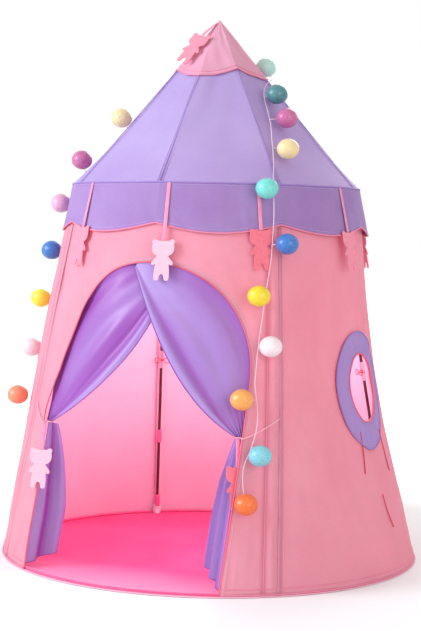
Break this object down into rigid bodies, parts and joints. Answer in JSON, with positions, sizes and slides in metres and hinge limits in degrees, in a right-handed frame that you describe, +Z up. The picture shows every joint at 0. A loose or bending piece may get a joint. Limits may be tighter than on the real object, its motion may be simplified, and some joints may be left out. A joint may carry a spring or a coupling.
{
  "type": "kids play tent",
  "caption": "Round play tent with a pointed roof, tied-back door curtains, a round window, hanging felt bears and a string of ball lights.",
  "frame": {"origin": "on the ground, under the tent's point, at the middle of the floor sheet's underside", "axes": "+Z up; -Y is the side of the door; +X is the side of the round window"},
  "size_m": [1.0702, 1.054, 1.35],
  "materials": {
    "wall": "pink polyester taffeta, slightly translucent",
    "roof": "lilac polyester taffeta",
    "cap": "pale pink polyester taffeta",
    "valance": "light purple polyester taffeta",
    "mat": "hot pink polyester floor sheet",
    "curtain": "purple satin",
    "felt": "pink felt on a satin ribbon",
    "rod": "dark red glass-fibre rod",
    "ferrule": "bright drawn tube",
    "plastic": "white moulded plastic",
    "cord": "thin woven cord",
    "lights": "dyed cotton balls on a clear wire"
  },
  "bodies": {
    "tent": {"foot_cap_front_right": "plastic", "leg_ferrule_front_right": "ferrule", "eave_connector_front_right": "plastic", "lower_leg_front_right": "rod", "upper_leg_front_right": "rod", "rafter_front_right": "rod", "foot_cap_back_right": "plastic", "leg_ferrule_back_right": "ferrule", "eave_connector_back_right": "plastic", "lower_leg_back_right": "rod", "upper_leg_back_right": "rod", "rafter_back_right": "rod", "foot_cap_back_left": "plastic", "leg_ferrule_back_left": "ferrule", "eave_connector_back_left": "plastic", "lower_leg_back_left": "rod", "upper_leg_back_left": "rod", "rafter_back_left": "rod", "foot_cap_front_left": "plastic", "leg_ferrule_front_left": "ferrule", "eave_connector_front_left": "plastic", "lower_leg_front_left": "rod", "upper_leg_front_left": "rod", "rafter_front_left": "rod", "apex_hub": "plastic", "eave_hoop": "rod", "base_hoop": "rod", "floor_mat": "mat", "wall_panel_front": "wall", "wall_panel_window": "wall", "window_trim": "valance", "wall_panel_back": "wall", "wall_panel_left": "wall", "roof_cover": "roof", "roof_cap": "cap", "valance": "valance", "curtain_left": "curtain", "tieback_left": "cord", "curtain_right": "curtain", "tieback_right": "cord", "light_string": "lights", "battery_box": "plastic", "window_cord_1": "cord", "window_cord_2": "cord", "window_cord_3": "cord"},
    "apex_bear": {"apex_bear": "felt"},
    "eave_bear_1": {"eave_bear_1": "felt"},
    "eave_bear_2": {"eave_bear_2": "felt"},
    "eave_bear_3": {"eave_bear_3": "felt"},
    "eave_bear_4": {"eave_bear_4": "felt"},
    "eave_bear_5": {"eave_bear_5": "felt"},
    "eave_bear_6": {"eave_bear_6": "felt"},
    "eave_bear_7": {"eave_bear_7": "felt"},
    "eave_bear_8": {"eave_bear_8": "felt"},
    "tieback_bear_left": {"tieback_bear_left": "felt"},
    "tieback_bear_right": {"tieback_bear_right": "felt"},
    "curtain_tail_left": {"curtain_tail_left": "curtain"},
    "curtain_tail_right": {"curtain_tail_right": "curtain"}
  },
  "joints": [
    {"name": "apex_bear_swing", "type": "hinge", "parent": "tent", "child": "apex_bear", "pos_m": [-0.00419, -0.00823, 1.34014], "axis": [-0.891, 0.454, 0], "range_deg": [0, 60]},
    {"name": "eave_bear_1_swing", "type": "hinge", "parent": "tent", "child": "eave_bear_1", "pos_m": [0.0631, -0.35788, 0.9276], "axis": [-0.9848, -0.1736, 0], "range_deg": [0, 60]},
    {"name": "eave_bear_2_swing", "type": "hinge", "parent": "tent", "child": "eave_bear_2", "pos_m": [0.24784, -0.26577, 0.9276], "axis": [0.682, -0.7314, 0], "range_deg": [-5, 5]},
    {"name": "eave_bear_3_swing", "type": "hinge", "parent": "tent", "child": "eave_bear_3", "pos_m": [0.35986, -0.05058, 0.9276], "axis": [-0.1392, -0.9903, 0], "range_deg": [0, 60]},
    {"name": "eave_bear_4_swing", "type": "hinge", "parent": "tent", "child": "eave_bear_4", "pos_m": [0.27838, 0.23359, 0.9276], "axis": [0.6428, -0.766, 0], "range_deg": [0, 60]},
    {"name": "eave_bear_5_swing", "type": "hinge", "parent": "tent", "child": "eave_bear_5", "pos_m": [0, 0.3634, 0.9276], "axis": [1, 0, 0], "range_deg": [0, 60]},
    {"name": "eave_bear_6_swing", "type": "hinge", "parent": "tent", "child": "eave_bear_6", "pos_m": [-0.27006, 0.24316, 0.9276], "axis": [0.6691, 0.7431, 0], "range_deg": [0, 60]},
    {"name": "eave_bear_7_swing", "type": "hinge", "parent": "tent", "child": "eave_bear_7", "pos_m": [-0.35788, -0.0631, 0.9276], "axis": [-0.1736, 0.9848, 0], "range_deg": [0, 60]},
    {"name": "eave_bear_8_swing", "type": "hinge", "parent": "tent", "child": "eave_bear_8", "pos_m": [-0.16498, -0.32379, 0.9276], "axis": [-0.891, 0.454, 0], "range_deg": [0, 60]},
    {"name": "tieback_bear_left_swing", "type": "hinge", "parent": "tent", "child": "tieback_bear_left", "pos_m": [-0.25148, -0.38902, 0.3482], "axis": [-0.9659, -0.2588, 0], "range_deg": [0, 50]},
    {"name": "tieback_bear_right_swing", "type": "hinge", "parent": "tent", "child": "tieback_bear_right", "pos_m": [0.26023, -0.37046, 0.3482], "axis": [0.5748, -0.8183, 0], "range_deg": [-6, 6]},
    {"name": "curtain_tail_left_swing", "type": "hinge", "parent": "tent", "child": "curtain_tail_left", "pos_m": [-0.2483, -0.37511, 0.3486], "axis": [-0.059, -0.1903, -0.98], "range_deg": [0, 25]},
    {"name": "curtain_tail_right_swing", "type": "hinge", "parent": "tent", "child": "curtain_tail_right", "pos_m": [0.26454, -0.36398, 0.348], "axis": [0.0284, 0.2243, 0.9741], "range_deg": [0, 25]}
  ]
}
